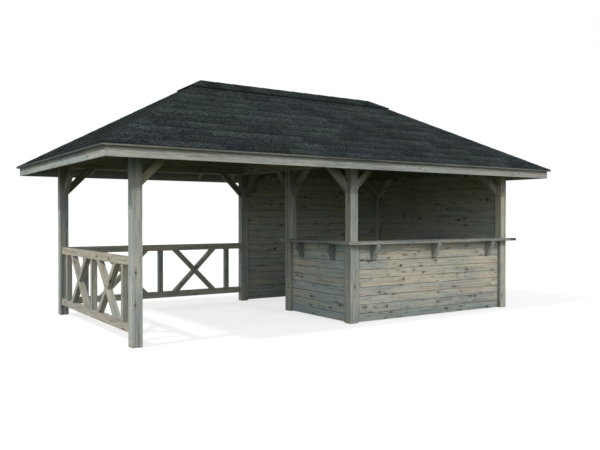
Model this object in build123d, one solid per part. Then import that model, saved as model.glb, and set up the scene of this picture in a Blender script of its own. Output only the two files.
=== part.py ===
from build123d import *
import math
import os

os.makedirs("parts", exist_ok=True)

# Garden pavilion with a bar: seven posts, a hipped roof, two crossed railings and a counter.
# Millimetres. X runs along the front, Y towards the back, Z up from the ground.
# The plan is centred on the origin and the posts stand on Z = 0.

# Frame
LENGTH = 6090.0            # over the outer faces of the corner posts, along the front
WIDTH = 3098.0             # over the outer faces of the corner posts, front to back
POST = 120.0               # square posts, and the width of the beams on them
POST_HEIGHT = 2130.0
BEAM_HEIGHT = 190.0
BRACE_REACH = 385.0        # how far a knee brace comes down its post and out under the beam
BRACE_THICK = 60.0
BRACE_WIDE = 90.0

# Roof
PITCH = 29.8               # degrees, the same on all four slopes
EAVE = 434.5               # outer post face to outer fascia face
BOARD_OVER = 39.5          # roof boards past the fascia
SEAT_DEPTH = 28.0          # plumb depth of a rafter's seat cut at the outer face of a beam
BOARD_THICK = 16.0
SHINGLE_THICK = 5.0
CAP_THICK = 12.0
CAP_REACH = 255.0          # plan reach of the ridge cap down every slope
FASCIA_THICK = 22.0
FASCIA_DEEP = 130.0        # outer face of a fascia, below the roof boards
RAFTER_WIDE = 60.0
RAFTER_DEEP = 95.0
JACK_IN = 600.0            # outer post face to the middle of a jack rafter
COMMON_STEP = 615.0        # middle to middle of the common rafters beside the middle one
HIP_WIDE = 60.0
HIP_EXTRA = 15.0           # how much deeper a hip is than a rafter, plumb
RIDGE_THICK = 40.0
RIDGE_DEEP = 160.0

# Walls
BOARD_WALL = 25.0          # thickness of the wall boards
WALL_RECESS = 35.0         # outer post face to the outer face of the boards
WALL_CLEAR = 8.0           # ground to the lowest board
BATTEN_WIDE = 30.0
BATTEN_DEEP = 35.0

# Bar counter
COUNTER_TOP = 1092.0
COUNTER_THICK = 40.0
COUNTER_OUT = 110.0        # past the outer post faces
COUNTER_IN = 70.0          # past the inner post faces
COUNTER_STOP = 25.0        # side counter ends this far before the centre post's back face
BRACKET_THICK = 70.0
BRACKET_HIGH = 220.0
BRACKET_NOSE = 30.0
BRACKET_BACK = 15.0        # bracket nose to the counter's edge

# Railings
RAIL_TOP = 980.0
RAIL_HIGH = 95.0
RAIL_CLEAR = 143.0         # ground to the bottom rail
RAIL_THICK = 70.0
RAIL_SETBACK = 20.0        # outer post face to the outer face of a railing
STILE = 70.0
STILE_GAP = 230.0          # post to the first stile
LAP_PLAY = 0.6             # play between the two bars of a lap joint

# Derived sizes
X_OUT = LENGTH / 2
Y_OUT = WIDTH / 2
X_MID = POST / 2           # half a middle post, on the centre line
BEAM_TOP = POST_HEIGHT + BEAM_HEIGHT
BRACE_START = POST_HEIGHT - BRACE_REACH
SLOPE = math.tan(math.radians(PITCH))
PLUMB = 1 / math.cos(math.radians(PITCH))
X_EAVE = X_OUT + EAVE + BOARD_OVER
Y_EAVE = Y_OUT + EAVE + BOARD_OVER
X_RIDGE = X_EAVE - Y_EAVE
RAFTER_PLUMB = RAFTER_DEEP * PLUMB
EAVE_HEIGHT = BEAM_TOP - SEAT_DEPTH + RAFTER_PLUMB - (EAVE + BOARD_OVER) * SLOPE
RIDGE_HEIGHT = EAVE_HEIGHT + Y_EAVE * SLOPE
FASCIA_BOTTOM = EAVE_HEIGHT + BOARD_OVER * SLOPE - FASCIA_DEEP
BOARD_PLUMB = BOARD_THICK * PLUMB
SHINGLE_PLUMB = SHINGLE_THICK * PLUMB
CAP_PLUMB = CAP_THICK * PLUMB
HIP_GAP = HIP_WIDE / 2 * math.sqrt(2)
FOOT = BOARD_OVER + FASCIA_THICK
COUNTER_UNDER = COUNTER_TOP - COUNTER_THICK
PANEL_LOW = RAIL_CLEAR + RAIL_HIGH
PANEL_HIGH = RAIL_TOP - RAIL_HIGH


def box(x0, x1, y0, y1, z0, z1):
    """A block between two corners."""
    size = Box(x1 - x0, y1 - y0, z1 - z0)
    return Pos((x0 + x1) / 2, (y0 + y1) / 2, (z0 + z1) / 2) * size


def prism(points, way, amount):
    """A flat outline of 3-D points pushed along a direction."""
    outline = Wire.make_polygon([Vector(*p) for p in points], close=True)
    return extrude(Face(outline), amount=amount, dir=way)


def block(points, z0, z1):
    """A plan outline pushed up between two heights."""
    return prism([(x, y, z0) for x, y in points], (0, 0, 1), z1 - z0)


def save(name, shape):
    """Write one node."""
    if isinstance(shape, (list, tuple)):
        shape = Compound(children=list(shape))
    shape.label = name
    export_step(shape, os.path.join("parts", name + ".step"))


# Posts and beams

def post(x, y):
    """A square post standing on the ground, by the low corner of its plan."""
    return box(x, x + POST, y, y + POST, 0, POST_HEIGHT)


def long_beam(y):
    """Front or back beam, its upper half cut away over the corner posts for the lap."""
    beam = box(-X_OUT, X_OUT, y, y + POST, POST_HEIGHT, BEAM_TOP)
    half = (POST_HEIGHT + BEAM_TOP) / 2
    for x in (-X_OUT, X_OUT - POST):
        beam = beam - box(x, x + POST, y, y + POST, half, BEAM_TOP + 1)
    return beam


def end_beam(x):
    """Left or right beam, its lower half cut away over the corner posts for the lap."""
    beam = box(x, x + POST, -Y_OUT, Y_OUT, POST_HEIGHT, BEAM_TOP)
    half = (POST_HEIGHT + BEAM_TOP) / 2
    for y in (-Y_OUT, Y_OUT - POST):
        beam = beam - box(x, x + POST, y, y + POST, POST_HEIGHT - 1, half)
    return beam


def beam_ring():
    """Everything the outer beams fill, used to cut the rafter seats."""
    outer = box(-X_OUT, X_OUT, -Y_OUT, Y_OUT, POST_HEIGHT, BEAM_TOP)
    inner = box(-X_OUT + POST, X_OUT - POST, -Y_OUT + POST, Y_OUT - POST, 0, BEAM_TOP + 1)
    return outer - inner


def knee_brace(along, face, way, low, high):
    """A brace at 45 degrees from a post face up to the beam, with both ends cut flush.

    along is "x" or "y", face the post face it leaves, way the side it leans to,
    low and high its two faces across the wall.
    """
    reach = POST_HEIGHT - BRACE_START
    cut = BRACE_WIDE * math.sqrt(2)
    outline = [
        (0, BRACE_START),
        (reach, POST_HEIGHT),
        (reach - cut, POST_HEIGHT),
        (0, BRACE_START + cut),
    ]
    if along == "x":
        return prism([(face + way * u, low, z) for u, z in outline], (0, 1, 0), high - low)
    return prism([(low, face + way * u, z) for u, z in outline], (1, 0, 0), high - low)


# Roof

def roof_core():
    """The whole hipped volume below the roof boards."""
    low = FASCIA_BOTTOM - FASCIA_DEEP
    across = [
        (-Y_EAVE, low), (Y_EAVE, low), (Y_EAVE, EAVE_HEIGHT),
        (0, RIDGE_HEIGHT), (-Y_EAVE, EAVE_HEIGHT),
    ]
    along = [
        (-X_EAVE, low), (X_EAVE, low), (X_EAVE, EAVE_HEIGHT),
        (X_RIDGE, RIDGE_HEIGHT), (-X_RIDGE, RIDGE_HEIGHT), (-X_EAVE, EAVE_HEIGHT),
    ]
    gable = prism([(-X_EAVE, y, z) for y, z in across], (1, 0, 0), 2 * X_EAVE)
    hips = prism([(x, -Y_EAVE, z) for x, z in along], (0, 1, 0), 2 * Y_EAVE)
    return gable & hips


def slope_points(side, low, high, lift):
    """Corners of a strip of one slope between two plan distances in from the eave."""
    z_low = EAVE_HEIGHT + low * SLOPE + lift
    z_high = EAVE_HEIGHT + high * SLOPE + lift
    if side in ("front", "back"):
        s = -1 if side == "front" else 1
        points = [
            (-X_EAVE + low, s * (Y_EAVE - low), z_low),
            (X_EAVE - low, s * (Y_EAVE - low), z_low),
            (X_EAVE - high, s * (Y_EAVE - high), z_high),
            (-X_EAVE + high, s * (Y_EAVE - high), z_high),
        ]
    else:
        s = -1 if side == "left" else 1
        points = [
            (s * (X_EAVE - low), -Y_EAVE + low, z_low),
            (s * (X_EAVE - low), Y_EAVE - low, z_low),
            (s * (X_EAVE - high), Y_EAVE - high, z_high),
        ]
        if Y_EAVE - high > 0.01:
            points.append((s * (X_EAVE - high), -Y_EAVE + high, z_high))
    return points


def slope_slab(side, low, high, lift, thick):
    """A layer of one slope, cut plumb at the eave and mitred plumb along the hips."""
    return prism(slope_points(side, low, high, lift), (0, 0, 1), thick)


def slope_area(side):
    """Plan area of one slope, drawn back from the hip rafters' sides."""
    g = HIP_GAP
    if side in ("front", "back"):
        s = -1 if side == "front" else 1
        points = [
            (-X_EAVE + g, s * Y_EAVE), (X_EAVE - g, s * Y_EAVE),
            (X_RIDGE - g, 0), (-X_RIDGE + g, 0),
        ]
    else:
        s = -1 if side == "left" else 1
        points = [(s * X_EAVE, -Y_EAVE + g), (s * X_EAVE, Y_EAVE - g), (s * (X_RIDGE + g), 0)]
    return block(points, FASCIA_BOTTOM - 50, RIDGE_HEIGHT + 50)


def rafter(side, at, head):
    """A rafter from the fascia up its slope, before the seat and cheek cuts."""
    outline = [
        (FOOT, EAVE_HEIGHT + FOOT * SLOPE),
        (head, EAVE_HEIGHT + head * SLOPE),
        (head, EAVE_HEIGHT + head * SLOPE - RAFTER_PLUMB),
        (FOOT, EAVE_HEIGHT + FOOT * SLOPE - RAFTER_PLUMB),
    ]
    low = at - RAFTER_WIDE / 2
    if side in ("front", "back"):
        s = -1 if side == "front" else 1
        return prism([(low, s * (Y_EAVE - d), z) for d, z in outline], (1, 0, 0), RAFTER_WIDE)
    s = -1 if side == "left" else 1
    return prism([(s * (X_EAVE - d), low, z) for d, z in outline], (0, 1, 0), RAFTER_WIDE)


def hip_rafter(sx, sy, core, ring):
    """A hip rafter with a backed top, a seat over the beams and a plumb foot and head."""
    drop = RAFTER_PLUMB + HIP_EXTRA
    outline = [
        (0, EAVE_HEIGHT + 50),
        (Y_EAVE, RIDGE_HEIGHT + 50),
        (Y_EAVE, RIDGE_HEIGHT - drop),
        (0, EAVE_HEIGHT - drop),
    ]
    across = HIP_WIDE / 2 / math.sqrt(2)
    points = [(sx * (X_EAVE - d) - across, sy * (Y_EAVE - d) + sx * sy * across, z) for d, z in outline]
    bar = prism(points, (1, -sx * sy, 0), HIP_WIDE)
    inside = box(
        -X_EAVE + FOOT, X_EAVE - FOOT, -Y_EAVE + FOOT, Y_EAVE - FOOT,
        FASCIA_BOTTOM - 50, RIDGE_HEIGHT + 60,
    )
    near = RIDGE_THICK / 2
    half = box(-X_EAVE, X_EAVE, near, Y_EAVE, FASCIA_BOTTOM - 50, RIDGE_HEIGHT + 60)
    if sy < 0:
        half = box(-X_EAVE, X_EAVE, -Y_EAVE, -near, FASCIA_BOTTOM - 50, RIDGE_HEIGHT + 60)
    return (bar & core & inside & half) - ring


def fascia(side, core):
    """One fascia board, square below and bevelled to the slope above."""
    x = X_OUT + EAVE
    y = Y_OUT + EAVE
    t = FASCIA_THICK
    if side == "front":
        board = box(-x + t, x - t, -y, -y + t, FASCIA_BOTTOM, RIDGE_HEIGHT)
    elif side == "back":
        board = box(-x + t, x - t, y - t, y, FASCIA_BOTTOM, RIDGE_HEIGHT)
    elif side == "left":
        board = box(-x, -x + t, -y, y, FASCIA_BOTTOM, RIDGE_HEIGHT)
    else:
        board = box(x - t, x, -y, y, FASCIA_BOTTOM, RIDGE_HEIGHT)
    return board & core


# Railings

def cross_bar(middle, rising, wide):
    """One diagonal bar at 45 degrees between the rails, in the railing's own frame."""
    rise = (PANEL_HIGH - PANEL_LOW) / 2
    half = wide / 2 * math.sqrt(2)
    way = 1 if rising else -1
    outline = [
        (middle - way * rise - half, PANEL_LOW),
        (middle - way * rise + half, PANEL_LOW),
        (middle + way * rise + half, PANEL_HIGH),
        (middle + way * rise - half, PANEL_HIGH),
    ]
    return prism([(x, 0, z) for x, z in outline], (0, 1, 0), RAIL_THICK)


def cross(middle):
    """Two diagonal bars half-lapped into each other."""
    centre = RAIL_THICK / 2
    play = LAP_PLAY / 2
    span = PANEL_HIGH - PANEL_LOW
    outer = box(middle - span, middle + span, -1, centre + play, PANEL_LOW, PANEL_HIGH)
    inner = box(middle - span, middle + span, centre - play, RAIL_THICK + 1, PANEL_LOW, PANEL_HIGH)
    rising = cross_bar(middle, True, STILE) - (cross_bar(middle, False, STILE + LAP_PLAY) & inner)
    falling = cross_bar(middle, False, STILE) - (cross_bar(middle, True, STILE + LAP_PLAY) & outer)
    return [rising, falling]


def railing_rails(bay):
    """Top and bottom rail of a bay."""
    return [
        box(0, bay, 0, RAIL_THICK, RAIL_CLEAR, PANEL_LOW),
        box(0, bay, 0, RAIL_THICK, PANEL_HIGH, RAIL_TOP),
    ]


def railing_infill(bay):
    """Three stiles and two crosses of a bay."""
    stiles = [STILE_GAP, (bay - STILE) / 2, bay - STILE_GAP - STILE]
    pieces = [box(x, x + STILE, 0, RAIL_THICK, PANEL_LOW, PANEL_HIGH) for x in stiles]
    for left, right in zip(stiles, stiles[1:]):
        pieces += cross((left + STILE + right) / 2)
    return pieces


# Bar

def counter_front():
    """Front counter board, notched round the posts and mitred at the corner."""
    y = -Y_OUT
    points = [
        (-X_MID - COUNTER_OUT, y - COUNTER_OUT),
        (X_OUT + COUNTER_OUT, y - COUNTER_OUT),
        (X_OUT + COUNTER_OUT, y),
        (X_OUT - POST, y),
        (X_OUT - POST, y + POST + COUNTER_IN),
        (X_MID + COUNTER_IN, y + POST + COUNTER_IN),
        (X_MID, y + POST),
        (X_MID, y),
        (-X_MID, y),
    ]
    return block(points, COUNTER_UNDER, COUNTER_TOP)


def counter_side():
    """Side counter board along the half wall up to the centre post."""
    y = -Y_OUT
    points = [
        (-X_MID - COUNTER_OUT, y - COUNTER_OUT),
        (-X_MID, y),
        (-X_MID, y + POST),
        (X_MID, y + POST),
        (X_MID + COUNTER_IN, y + POST + COUNTER_IN),
        (X_MID + COUNTER_IN, -POST / 2),
        (-X_MID, -POST / 2),
        (-X_MID, POST / 2 - COUNTER_STOP),
        (-X_MID - COUNTER_OUT, POST / 2 - COUNTER_STOP),
    ]
    return block(points, COUNTER_UNDER, COUNTER_TOP)


def bracket_outline():
    """Gusset outline as distance out from the boards and height."""
    out = WALL_RECESS + COUNTER_OUT - BRACKET_BACK
    return [
        (0, COUNTER_UNDER),
        (0, COUNTER_UNDER - BRACKET_HIGH),
        (BRACKET_NOSE, COUNTER_UNDER - BRACKET_HIGH),
        (out, COUNTER_UNDER - BRACKET_NOSE),
        (out, COUNTER_UNDER),
    ]


def front_bracket(at):
    """Gusset under the front counter, centred at a distance along X."""
    y = -Y_OUT + WALL_RECESS
    points = [(at - BRACKET_THICK / 2, y - d, z) for d, z in bracket_outline()]
    return prism(points, (1, 0, 0), BRACKET_THICK)


def side_bracket(at):
    """Gusset under the side counter, centred at a distance along Y."""
    x = -X_MID + WALL_RECESS
    points = [(x - d, at - BRACKET_THICK / 2, z) for d, z in bracket_outline()]
    return prism(points, (0, 1, 0), BRACKET_THICK)


def battens(along, low, high, outer, way, top, inner_top):
    """Four battens that hold a wall's boards between two posts.

    low and high are the post faces, outer the outer face of the posts, way the
    direction from there into the building. The inner ones may stop under a brace.
    """
    pieces = []
    sides = [
        (WALL_RECESS - BATTEN_DEEP, top),
        (WALL_RECESS + BOARD_WALL, inner_top),
    ]
    for a in (low, high - BATTEN_WIDE):
        for d, z in sides:
            edges = sorted((outer + way * d, outer + way * (d + BATTEN_DEEP)))
            if along == "x":
                pieces.append(box(a, a + BATTEN_WIDE, edges[0], edges[1], WALL_CLEAR, z))
            else:
                pieces.append(box(edges[0], edges[1], a, a + BATTEN_WIDE, WALL_CLEAR, z))
    return pieces


# Write the frame
front = -Y_OUT
back = Y_OUT - POST
save("front_left_post", post(-X_OUT, front))
save("front_middle_post", post(-X_MID, front))
save("front_right_post", post(X_OUT - POST, front))
save("back_left_post", post(-X_OUT, back))
save("back_middle_post", post(-X_MID, back))
save("back_right_post", post(X_OUT - POST, back))
save("centre_post", post(-X_MID, -POST / 2))

save("front_beam", long_beam(front))
save("back_beam", long_beam(back))
save("left_beam", end_beam(-X_OUT))
save("right_beam", end_beam(X_OUT - POST))
save("middle_beam", box(-X_MID, X_MID, front + POST, back, POST_HEIGHT, BEAM_TOP))

# Knee braces sit flush with the inner faces of the posts
inner_front = front + POST
inner_back = back
brace_x = [(-X_OUT + POST, 1), (-X_MID, -1), (X_MID, 1), (X_OUT - POST, -1)]
save("knee_braces_front", [
    knee_brace("x", x, way, inner_front - BRACE_THICK, inner_front) for x, way in brace_x
])
save("knee_braces_back", [
    knee_brace("x", x, way, inner_back, inner_back + BRACE_THICK) for x, way in brace_x
])
end_braces = []
for y, way in ((inner_front, 1), (inner_back, -1)):
    end_braces.append(knee_brace("y", y, way, -X_OUT + POST - BRACE_THICK, -X_OUT + POST))
    end_braces.append(knee_brace("y", y, way, X_OUT - POST, X_OUT - POST + BRACE_THICK))
save("knee_braces_ends", end_braces)
middle_faces = [(inner_front, 1), (-POST / 2, -1), (POST / 2, 1), (inner_back, -1)]
save("knee_braces_middle", [
    knee_brace("y", y, way, X_MID - BRACE_THICK, X_MID) for y, way in middle_faces
])

# Write the roof
core = roof_core()
ring = beam_ring()
ridge_end = X_RIDGE + RIDGE_THICK / 2 + HIP_GAP
ridge = box(
    -ridge_end, ridge_end, -RIDGE_THICK / 2, RIDGE_THICK / 2,
    RIDGE_HEIGHT - RIDGE_DEEP, RIDGE_HEIGHT + 10,
)
save("ridge_board", ridge & core)
save("hip_rafters", [hip_rafter(sx, sy, core, ring) for sx in (-1, 1) for sy in (-1, 1)])

# Commons stand on the middle line, at both ridge ends and between; jacks run into the hips
common_x = [-X_RIDGE, -COMMON_STEP, 0, COMMON_STEP, X_RIDGE]
jack_x = X_OUT - JACK_IN
jack_y = Y_OUT - JACK_IN
head = Y_EAVE - RIDGE_THICK / 2
commons = []
jacks = []
for side in ("front", "back"):
    area = slope_area(side)
    commons += [(rafter(side, x, head) & area) - ring for x in common_x]
    jacks += [(rafter(side, x, head) & area) - ring for x in (-jack_x, jack_x)]
for side in ("left", "right"):
    area = slope_area(side)
    jacks += [(rafter(side, y, head) & area) - ring for y in (-jack_y, jack_y)]
    commons.append((rafter(side, 0, X_EAVE - ridge_end) & area) - ring)
save("common_rafters", commons)
save("jack_rafters", jacks)

for side in ("front", "back", "left", "right"):
    save(side + "_fascia", fascia(side, core))
    save(side + "_roof_boards", slope_slab(side, 0, Y_EAVE, 0, BOARD_PLUMB))
    save(side + "_shingles", slope_slab(side, 0, Y_EAVE, BOARD_PLUMB, SHINGLE_PLUMB))

# The cap is one layer folded over the ridge and the four hips' upper ends
cap_lift = BOARD_PLUMB + SHINGLE_PLUMB
cap_low = Y_EAVE - CAP_REACH
cap = slope_slab("front", cap_low, Y_EAVE, cap_lift, CAP_PLUMB)
for side in ("back", "left", "right"):
    cap = cap + slope_slab(side, cap_low, Y_EAVE, cap_lift, CAP_PLUMB)
save("ridge_cap", cap)

# Write the walls
outer = WALL_RECESS
inner = WALL_RECESS + BOARD_WALL
save("back_wall", box(X_MID, X_OUT - POST, Y_OUT - inner, Y_OUT - outer, WALL_CLEAR, POST_HEIGHT))
save("right_wall", box(
    X_OUT - inner, X_OUT - outer, inner_front, inner_back, WALL_CLEAR, POST_HEIGHT,
))
save("bar_front_wall", box(
    X_MID, X_OUT - POST, front + outer, front + inner, WALL_CLEAR, COUNTER_UNDER,
))
save("bar_side_wall", box(
    -X_MID + outer, -X_MID + inner, inner_front, -POST / 2, WALL_CLEAR, COUNTER_UNDER,
))
wall_battens = battens("x", X_MID, X_OUT - POST, Y_OUT, -1, POST_HEIGHT, BRACE_START)
wall_battens += battens("y", inner_front, inner_back, X_OUT, -1, POST_HEIGHT, BRACE_START)
wall_battens += battens("x", X_MID, X_OUT - POST, front, 1, COUNTER_UNDER, COUNTER_UNDER)
wall_battens += battens("y", inner_front, -POST / 2, -X_MID, 1, COUNTER_UNDER, COUNTER_UNDER)
save("wall_battens", wall_battens)

# Write the bar counter
save("counter_front", counter_front())
save("counter_side", counter_side())
bay_middle = (X_MID + X_OUT - POST) / 2
bay_step = (X_OUT - POST - X_MID) * 0.4
side_middle = (inner_front - POST / 2) / 2
side_step = (-POST / 2 - inner_front) * 0.28
brackets = [front_bracket(bay_middle + k * bay_step) for k in (-1, 0, 1)]
brackets += [side_bracket(side_middle + k * side_step) for k in (-1, 1)]
save("counter_brackets", brackets)

# Write the railings
back_bay = -X_MID - (-X_OUT + POST)
left_bay = inner_back - inner_front
back_place = Pos(-X_OUT + POST, Y_OUT - RAIL_SETBACK - RAIL_THICK, 0)
left_place = Pos(-X_OUT + RAIL_SETBACK + RAIL_THICK, inner_front, 0) * Rot(0, 0, 90)
save("back_railing_rails", [back_place * piece for piece in railing_rails(back_bay)])
save("back_railing_infill", [back_place * piece for piece in railing_infill(back_bay)])
save("left_railing_rails", [left_place * piece for piece in railing_rails(left_bay)])
save("left_railing_infill", [left_place * piece for piece in railing_infill(left_bay)])
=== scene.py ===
import math
import random

import bmesh
import bpy
from mathutils import Matrix, Vector


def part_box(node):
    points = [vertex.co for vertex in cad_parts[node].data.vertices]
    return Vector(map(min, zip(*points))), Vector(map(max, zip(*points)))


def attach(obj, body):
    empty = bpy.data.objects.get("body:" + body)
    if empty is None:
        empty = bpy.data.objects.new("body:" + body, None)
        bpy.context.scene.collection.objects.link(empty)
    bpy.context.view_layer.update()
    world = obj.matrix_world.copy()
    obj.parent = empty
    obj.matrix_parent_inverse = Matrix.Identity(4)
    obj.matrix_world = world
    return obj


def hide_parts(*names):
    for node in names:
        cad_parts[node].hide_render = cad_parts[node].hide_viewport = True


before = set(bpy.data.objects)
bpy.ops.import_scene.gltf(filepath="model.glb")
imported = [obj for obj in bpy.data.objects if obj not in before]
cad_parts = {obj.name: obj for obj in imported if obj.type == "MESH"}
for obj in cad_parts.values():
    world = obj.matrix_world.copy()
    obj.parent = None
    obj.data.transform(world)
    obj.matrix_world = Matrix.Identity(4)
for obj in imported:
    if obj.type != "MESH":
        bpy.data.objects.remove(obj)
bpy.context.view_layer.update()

# The looks of a garden pavilion: weathered timber, boarded walls, nails and a shingled roof

UP = Vector((0, 0, 1))
HALF_POST_PLAN = (3.0, 1.5)   # from the middle to the posts, about, along x and y

# Sizes that belong to the looks only, in metres

# Timber and its fixings
SAME_POINT = 0.00005     # points closer than this are one
FLAT = 0.01              # faces that meet at less than this many radians are one
SHARP = 0.5              # edges that turn by more than this many radians are rounded
ARRIS = 0.004            # rounding of the timber's edges
THIN_ARRIS = 0.003       # the same on fascias and counters
NAIL_HEAD = 0.0034       # radius of a nail's head
SCREW_HEAD = 0.0045      # radius of a screw's head
HEAD_ROOT = 0.002        # how deep a head sits in the wood
HEAD_RIM = 0.0006        # how far its rim stands out
HEAD_TOP = 0.0013        # how far its middle stands out
HEAD_FLAT = 0.55         # radius of that middle, as a share of the head's
BRACE_SCREWS = (0.075, 0.018)    # from a member's end, and from its centre line
RAIL_SCREWS = (0.03, 0.018)
INFILL_SCREWS = (0.04, 0)

# Boarded walls
BOARD = 0.118            # cover of a wall board
TOP_BOARD = 1.35 * BOARD         # the highest that the top board gets, with a narrow rest taken in
BOARD_LIP = 0.0018       # half the open joint between two wall boards
BOARD_ARRIS = 0.0015     # rounding beside that joint
BOARD_TONGUE = 0.008     # how deep that joint is
BOARD_STAIN = 0.007      # how far from the board's edge its face is stained
BOARD_CUP = 0.0006       # how far a board bows in or out of the wall, at most
BOARD_CUP_STEP = 0.35    # from bow to bow
STUD_STEP = 0.62         # about how far apart the studs are, where the wall is nailed
WALL_NAIL = 0.024        # from a board's edge to its nail
TOP_NAIL = 0.012         # from the wall's top to the highest nail, at least
NAIL_SCATTER = (0.004, 0.003)    # how far a nail is out of line along the board and up, at most

# Fascia
RAFTER_STEP = 0.615      # from rafter to rafter, where the fascia is nailed
FASCIA_NAILS = (0.035, 0.082)    # heights above the fascia's lower edge
FASCIA_END = 0.15        # from the fascia's end to the first nails, at least

# Roof
LINING = 0.096           # cover of a roof board
LINING_JOINT = 0.001     # half the joint between two roof boards
LINING_UNEVEN = 0.0012   # how much thinner than its place a roof board is, at most
LINING_REST = 0.01       # a last board narrower than this, in plan, is left out
LINING_GRAIN = 0.02      # how far apart in the log a roof board's two faces lie
UNDERLAY = 0.002         # felt sheet under the shingles
COURSE = 0.200           # exposed height of a shingle, up the slope
FIRST_COURSE = 0.150     # the same at the eave
COURSE_REST = 0.02       # a last course narrower than this, in plan, is left out
COURSE_SHIFT = 0.03      # how far a course is off its half-tab stagger, at most
TAB = 0.430              # width of a shingle tab
TAB_LAP = 0.035          # how far it reaches under the next course, in plan
TAB_THICK = 0.0012       # a tab's upper end above the underlay
TAB_WOBBLE = 0.0025      # how far its lower edge is off the course's line, at most
SLOT = 0.005             # gap between two tabs
SHINGLE_EDGE = 0.0055    # a shingle's lower edge above the course below it
CAP_LAP = 0.03           # how far hip and ridge cap shingles reach under the next one
HIP_PIECE = 0.200        # exposed length of a hip shingle
HIP_WING = 0.165         # reach of a hip shingle down each slope
HIP_REST = 0.0055        # a hip shingle's upper end above the roof boards
HIP_EDGE = 0.0045        # its lower edge above that
HIP_UNDER = 0.003        # its underside above the roof boards
HIP_END = 0.2            # from the ridge to the last hip shingle's lower edge, in plan, at least
CAP_PIECE = 0.25         # exposed length of a ridge cap shingle
CAP_FALL = 0.004         # how much lower it is at its far end
CAP_UNDER = 0.005        # its underside above the roof boards, at the ridge
CAP_GAP = 0.016          # gap under the lower edge of the ridge cap
CAP_STAND = 0.008        # how much higher than the solid that edge stands


# Pieces

def add_piece(name, bm, material, nodes=()):
    """Turn a bmesh into a piece that rides on the part and stands for some CAD nodes."""
    mesh = bpy.data.meshes.new(name)
    bmesh.ops.recalc_face_normals(bm, faces=bm.faces)
    bm.to_mesh(mesh)
    bm.free()
    mesh.materials.append(material)
    piece = bpy.data.objects.new(name, mesh)
    bpy.context.scene.collection.objects.link(piece)
    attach(piece, "root")
    if nodes:
        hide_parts(*nodes)
    return piece


def new_bmesh():
    """A bmesh whose points know their place in a board, its tone and how dark its joint is there."""
    bm = bmesh.new()
    bm.verts.layers.float_vector.new("grain")
    bm.verts.layers.float.new("tone")
    bm.verts.layers.float.new("seam")
    return bm


def mark(bm, verts, place, tone):
    """Give points their place in the board, found by place(co), and the board's tone."""
    grain = bm.verts.layers.float_vector["grain"]
    shade = bm.verts.layers.float["tone"]
    for v in verts:
        v[grain] = place(v.co)
        v[shade] = tone


def log_offset(rng):
    """Where a board was sawn from its log: far along it, and a little off its heart."""
    angle = rng.uniform(0, 2 * math.pi)
    far = rng.uniform(0.03, 0.11)
    return Vector((rng.uniform(0, 90), far * math.cos(angle), far * math.sin(angle)))


def islands(bm):
    """The separate pieces of timber in a bmesh, as lists of points."""
    left = set(bm.verts)
    groups = []
    while left:
        stack = [left.pop()]
        group = list(stack)
        while stack:
            for edge in stack.pop().link_edges:
                for v in edge.verts:
                    if v in left:
                        left.remove(v)
                        stack.append(v)
                        group.append(v)
        groups.append(group)
    groups.sort(key=lambda g: tuple(round(c, 4) for c in min(tuple(v.co) for v in g)))
    return groups


def long_way(verts):
    """Direction of the longest edge of a piece of timber."""
    best = max({e for v in verts for e in v.link_edges}, key=lambda e: round(e.calc_length(), 4))
    way = (best.verts[1].co - best.verts[0].co).normalized()
    return -way if (way.x + 0.5 * way.y + 0.2 * way.z) < 0 else way


def spread_across(verts, centre, way):
    """How far a piece of timber reaches out sideways from a line through its middle."""
    return round(max(((v.co - centre) - way * (v.co - centre).dot(way)).length for v in verts), 4)


def dress(node, material, seed, tones=(0.0, 1.0), arris=ARRIS, tone_at=None, screws=None, others=()):
    """Timber of a CAD node with rounded edges and grain along every member.

    A member's tone, 0 for warm to 1 for grey and past both, is drawn from tones, or given by
    tone_at for its centre.
    screws is how far from each end a member is screwed, and how far from its centre line.
    others are more materials, each with a test of a member's centre for where it is used.
    """
    rng = random.Random(seed)
    bm = bmesh.new()
    bm.from_mesh(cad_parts[node].data)
    bmesh.ops.remove_doubles(bm, verts=bm.verts, dist=SAME_POINT)
    bmesh.ops.dissolve_limit(bm, angle_limit=FLAT, verts=bm.verts, edges=bm.edges)
    bm.verts.layers.float_vector.new("grain")
    bm.verts.layers.float.new("tone")
    ways = [long_way(member) for member in islands(bm)]
    sharp = [e for e in bm.edges if len(e.link_faces) == 2 and e.calc_face_angle() > SHARP]
    bmesh.ops.bevel(
        bm, geom=sharp, offset=arris, segments=2, profile=0.6, affect="EDGES", clamp_overlap=True,
    )
    heads = []
    for member in islands(bm):
        centre = sum((v.co for v in member), Vector()) / len(member)
        way = min(ways, key=lambda w: spread_across(member, centre, w))
        side = UP.cross(way)
        side = side.normalized() if side.length > 0.1 else Vector((1, 0, 0))
        third = way.cross(side)
        shift = log_offset(rng)
        tone = tone_at(centre) if tone_at else rng.uniform(*tones)
        mark(bm, member, lambda co: Vector((
            (co - centre).dot(way), (co - centre).dot(side), (co - centre).dot(third),
        )) + shift, tone)
        for slot, (_, used) in enumerate(others, 1):
            if used(centre):
                for face in {face for v in member for face in v.link_faces}:
                    face.material_index = slot
        if screws:
            heads += end_screws(member, centre, (way, side, third), *screws)
    if heads:
        nails(node + "_screws", heads, SCREW_HEAD)
    piece = add_piece(node + "_timber", bm, material, [node])
    for extra, _ in others:
        piece.data.materials.append(extra)


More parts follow.
